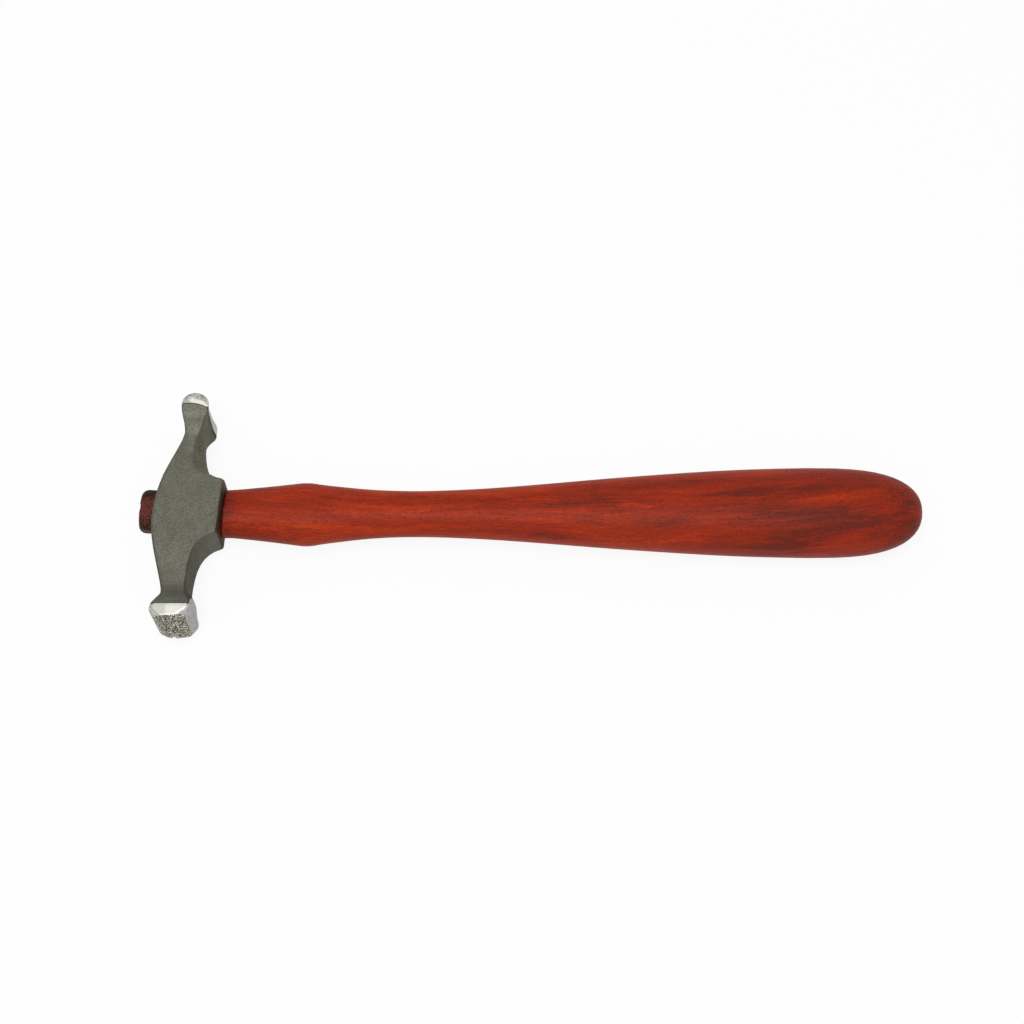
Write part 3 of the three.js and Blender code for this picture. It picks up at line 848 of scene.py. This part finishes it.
# %% Write the wood recipe
def wood(name, dark, middle, light, pore, lenses=()):
    """A red hardwood whose grain runs along X, and its place, colour, threads and pores."""
    recipe = recipe_for(name)
    place = recipe.place()
    x, y, z = recipe.axes(place)
    grain = recipe.add("CombineXYZ", None, {0: x, 1: y - bend(x), 2: z})
    push = recipe.noise(place, WANDER_SIZE, detail=1, out="Color")
    settings = {"operation": "MULTIPLY_ADD"}
    wander = recipe.add("VectorMath", settings, {0: push, 1: WANDER, 2: grain})
    figure = recipe.noise(wander, FIGURE_SIZE, detail=3)
    streak = recipe.noise(wander, STREAK_SIZE, detail=3)
    thread = recipe.noise(wander, THREAD_SIZE)
    pores = recipe.noise(wander, PORE_SIZE, detail=1).rise(*PORE_TONES)
    fleck = recipe.noise(grain, FLECK_SIZE, detail=1)
    tone = figure * FIGURE + streak * STREAK + thread * THREAD + TONE_LIFT
    tone = tone - x.rise(*BUTT) * BUTT_DARKER + (fleck - NOISE_MIDDLE) * FLECK
    ragged = (streak - NOISE_MIDDLE) * STREAK_TEAR + (thread - NOISE_MIDDLE) * THREAD_TEAR
    for (along, side, up), reach, depth in lenses:
        sockets = {"Vector": grain, "Location": (along, side - bend(along), up), "Scale": reach}
        lens = recipe.add("Mapping", {"vector_type": "TEXTURE"}, sockets)
        away = recipe.add("VectorMath", {"operation": "LENGTH"}, {0: lens}, out=1)
        tone = tone - (away + ragged).fall(*LENS_EDGE) * depth
    colour = recipe.blend(tone.rise(*MIDDLE_TONES), dark, middle)
    colour = recipe.blend(tone.rise(*LIGHT_TONES), colour, light)
    colour = recipe.blend(pores * PORE_share, colour, pore)
    print(f"{name}: {len(recipe.tree.nodes)} nodes, {len(lenses)} placed streaks")
    return recipe, place, colour, thread, pores


# %% [markdown]
# The grip's strongest streaks are placed one by one, each with its middle, its reach along the three
# axes, and how much it darkens. Three are lighter, and darken by less than nothing. The first entry is
# no streak: it is painted shade where the boss shades the start of the neck.

# %% Mix the padauk
RED_DARK = tint(104, 36, 25)
RED = tint(152, 44, 20)
RED_LIGHT = tint(184, 60, 18)
PORE = tint(70, 24, 18)
STREAKS_AND_NECK_SHADE = [
    # Painted shade where the boss shades the neck, not a streak.
    ((-96, 1.5, 17), (5, 14, 10), 0.3),
    ((-84, 8, 13), (15, 2, 6), 0.14),
    ((-84, -6.8, 14), (18, 4, 7), 0.22),
    ((116, 0, 17), (7, 14, 14), 0.12),
    ((-70, 3.5, 18), (9, 3.4, 6), 0.1),
    ((-18, 3, 18), (26, 3, 7), 0.14),
    ((3, -7.5, 17), (17, 1.9, 6), 0.16),
    ((22, 2, 19), (15, 3.6, 7), 0.2),
    ((43, -4.6, 20), (9, 1.7, 6), 0.14),
    ((83, 5.1, 20), (29, 2.5, 7), 0.18),
    ((76, -2.7, 20), (16, 2.1, 7), 0.2),
    ((94, -5, 20), (21, 3, 8), 0.16),
    ((77, -10.9, 17), (12, 2, 6), 0.18),
    ((51, 8.6, 17), (28, 2.4, 6), 0.1),
    ((-80, 0.5, 18), (12, 4, 7), -0.06),
    ((-38, 6.5, 15), (28, 2.6, 6), -0.1),
    ((93, 2.3, 21), (13, 2.4, 6), -0.12),
]

padauk, place, colour, thread, pores = wood("handle_wood", RED_DARK, RED, RED_LIGHT, PORE, STREAKS_AND_NECK_SHADE)

# %% [markdown]
# Behind the head the tenon is bare: rasped, unoiled end grain, dark and speckled. Painted light makes
# it lighter and redder in a band across its middle, and leaves both sides darker as painted shade.

# %% Finish the handle
TENON_RED = tint(104, 54, 44)
TENON_DARK = tint(36, 24, 22)
TENON_SPECKLE = (0.7, 0.45, 0.45)
TENON_TONES = (0.46, 0.76)
BARE = (-109, -107)
RED_FROM = (-5, 0)
RED_TO = (3, 6.5)
LIT_BAND_share = 0.2
OILED_ROUGH = 0.42
THREAD_ROUGH = 0.12
BARE_ROUGH = 0.25
WOOD_SHEEN = 0.1
THREAD_HEIGHT = 0.3
WOOD_DEPTH = 0.05

x, y, z = padauk.axes(place)
bare = x.fall(*BARE)
rasped = padauk.noise(place, TENON_SPECKLE, detail=3)
# Painted light across the tenon's middle band, and painted shade on both sides of it.
painted_light_band = y.rise(*RED_FROM) * y.fall(*RED_TO)
end_grain = padauk.blend((rasped + painted_light_band * LIT_BAND_share).rise(*TENON_TONES), TENON_DARK, TENON_RED)
handle.data.materials.clear()
handle.data.materials.append(
    padauk.finish(
        Base_Color=padauk.blend(bare, colour, end_grain),
        Roughness=OILED_ROUGH + THREAD_ROUGH * thread + BARE_ROUGH * bare,
        Specular_IOR_Level=WOOD_SHEEN,
        Normal=padauk.bump(thread * THREAD_HEIGHT - pores, WOOD_DEPTH),
    )
)
stands_for(handle, "handle")

# %% [markdown]
# ## The wedges
# A hardwood wedge spreads the tenon along the head, and a barbed steel one locks it from across. Only
# their ends show, level with the tenon's sawn end. The wooden one is remeshed and lightly smoothed, and
# takes the handle's wood recipe with darker colours.

# %% Make the wooden wedge
WEDGE_QUAD = 0.2
WEDGE_PASSES = 2
WEDGE_DARK = tint(48, 28, 22)
WEDGE_MIDDLE = tint(70, 42, 32)
WEDGE_LIGHT = tint(90, 58, 42)
WEDGE_ROUGH = 0.6
WEDGE_THREAD_ROUGH = 0.1

wood_wedge = copied("cross_wedge", "wood_wedge")
remeshed(wood_wedge, WEDGE_QUAD)
wedge_bm = bmesh.new()
wedge_bm.from_mesh(wood_wedge.data)
smoothed(wedge_bm, wedge_bm.verts, WEDGE_PASSES)
wedge_bm.to_mesh(wood_wedge.data)
wedge_bm.free()
hardwood, place, colour, thread, pores = wood(
    "wedge_wood", WEDGE_DARK, WEDGE_MIDDLE, WEDGE_LIGHT, PORE
)
wood_wedge.data.materials.clear()
wood_wedge.data.materials.append(
    hardwood.finish(
        Base_Color=colour,
        Roughness=WEDGE_ROUGH + WEDGE_THREAD_ROUGH * thread,
        Normal=hardwood.bump(thread, WOOD_DEPTH),
    )
)
stands_for(wood_wedge, "wood_wedge")

# %% [markdown]
# The steel wedge is a small plain plate with flat sides, so it keeps the CAD shape. Its coplanar
# triangles are dissolved to whole faces, and then a narrow bevel breaks the edges.

# %% Make the steel wedge
WEDGE_STEEL = tint(150, 149, 146)
COPLANAR = math.radians(1)
WEDGE_BEVEL = 0.08 * MM
ROLLED_SIZE = (0.8, 0.15, 0.15)
ROLLED_SMOOTHEST = 0.38
ROLLED_ROUGHER = 0.2
ROLLED_DEPTH = 0.03

steel_wedge = copied("lock_wedge", "steel_wedge")
lock_bm = bmesh.new()
lock_bm.from_mesh(steel_wedge.data)
bmesh.ops.dissolve_limit(lock_bm, angle_limit=COPLANAR, verts=lock_bm.verts, edges=lock_bm.edges)
bmesh.ops.bevel(
    lock_bm,
    geom=list(lock_bm.edges),
    offset=WEDGE_BEVEL,
    offset_type="OFFSET",
    segments=2,
    profile=0.5,
    affect="EDGES",
    material=-1,
)
lock_bm.to_mesh(steel_wedge.data)
lock_bm.free()
plain = recipe_for("wedge_steel")
rolled = plain.noise(plain.place(), ROLLED_SIZE, detail=3)
steel_wedge.data.materials.clear()
steel_wedge.data.materials.append(
    plain.finish(
        Base_Color=WEDGE_STEEL,
        Metallic=1.0,
        Roughness=ROLLED_SMOOTHEST + ROLLED_ROUGHER * rolled,
        Normal=plain.bump(rolled, ROLLED_DEPTH),
    )
)
stands_for(steel_wedge, "steel_wedge")

# %% [markdown]
# ## Floor and light
# The photograph's ground is plain white. The floor is pale and takes the hammer's shadow. To the
# camera, and in the bright steel, it shows mostly as pure white, and the world does so too.

# %% Lay the floor
FLOOR_REACH = 4
FLOOR_SIDES = 64
FLOOR_GAP = 0.02 * MM

floor_bm = bmesh.new()
bmesh.ops.create_circle(floor_bm, cap_ends=True, segments=FLOOR_SIDES, radius=FLOOR_REACH)
bmesh.ops.translate(floor_bm, verts=floor_bm.verts, vec=(0, 0, -FLOOR_GAP))
floor = bpy.data.objects.new("floor", bpy.data.meshes.new("floor"))
floor_bm.to_mesh(floor.data)
floor_bm.free()
scene.collection.objects.link(floor)
floor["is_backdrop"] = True
print("floor:", 2 * FLOOR_REACH, "m across")

# %% [markdown]
# The Light Path node tells what kind of ray asks for the colour. A ray to the camera, or one that
# comes from a reflection, is shown a plain white. All others find the true floor and a dimmer world,
# so the hammer gets no more light than its colours can bear.

# %% Whiten what is seen
FLOOR_WHITE = tint(250, 250, 249)
FLOOR_ROUGH = 0.7
WHITE = (1, 1, 1, 1)
WHITE_share = 0.9


def seen(recipe):
    """1 on rays that show a surface to the camera or in a reflection, and 0 on rays that light it."""
    sight = recipe.add("LightPath", out="Is Camera Ray")
    outputs = sight.socket.node.outputs
    for name in ("Is Glossy Ray", "Is Transmission Ray"):
        sight = sight.either(Flow(recipe, outputs[name]))
    return sight


paper = recipe_for("floor_paper")
paper.finish(Base_Color=FLOOR_WHITE, Roughness=FLOOR_ROUGH)
glow = paper.add("Emission", None, {"Color": WHITE, "Strength": 1.0})
shader = Flow(paper, paper.shader.outputs[0])
shown = paper.add("MixShader", None, {0: seen(paper) * WHITE_share, 1: shader, 2: glow})
paper.feed(paper.tree.nodes["Material Output"].inputs["Surface"], shown)
floor.data.materials.append(paper.owner)
print("floor paper:", len(paper.tree.nodes), "nodes")

# %% Light the scene
DOME = 0.45
LAMP_SIZE = 0.5
LAMP_WATTS = 8.0
LAMP_PLACE = Vector((-0.15, -0.22, 1.2))

scene.world = bpy.data.worlds.new("room")
room = Recipe(scene.world)
dim = room.add("Background", None, {"Color": WHITE, "Strength": DOME})
white = room.add("Background", None, {"Color": WHITE, "Strength": 1.0})
both = room.add("MixShader", None, {0: seen(room), 1: dim, 2: white})
room.feed(room.tree.nodes["World Output"].inputs["Surface"], both)

lamp = bpy.data.objects.new("softbox", bpy.data.lights.new("softbox", "AREA"))
lamp.data.shape = "SQUARE"
lamp.data.size = LAMP_SIZE
lamp.data.energy = LAMP_WATTS
lamp.location = LAMP_PLACE
lamp.rotation_euler = (TARGET - LAMP_PLACE).to_track_quat("-Z", "Y").to_euler()
scene.collection.objects.link(lamp)
print("lamp:", LAMP_WATTS, "W,", round((TARGET - LAMP_PLACE).length, 2), "m from the hammer")

# %% Measure the sizes
visual_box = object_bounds()
grew = [round((b - a) / MM, 3) for lo_hi in zip(cad_box, visual_box) for a, b in zip(*lo_hi)]
print("visual box against the CAD box, in mm:", grew)
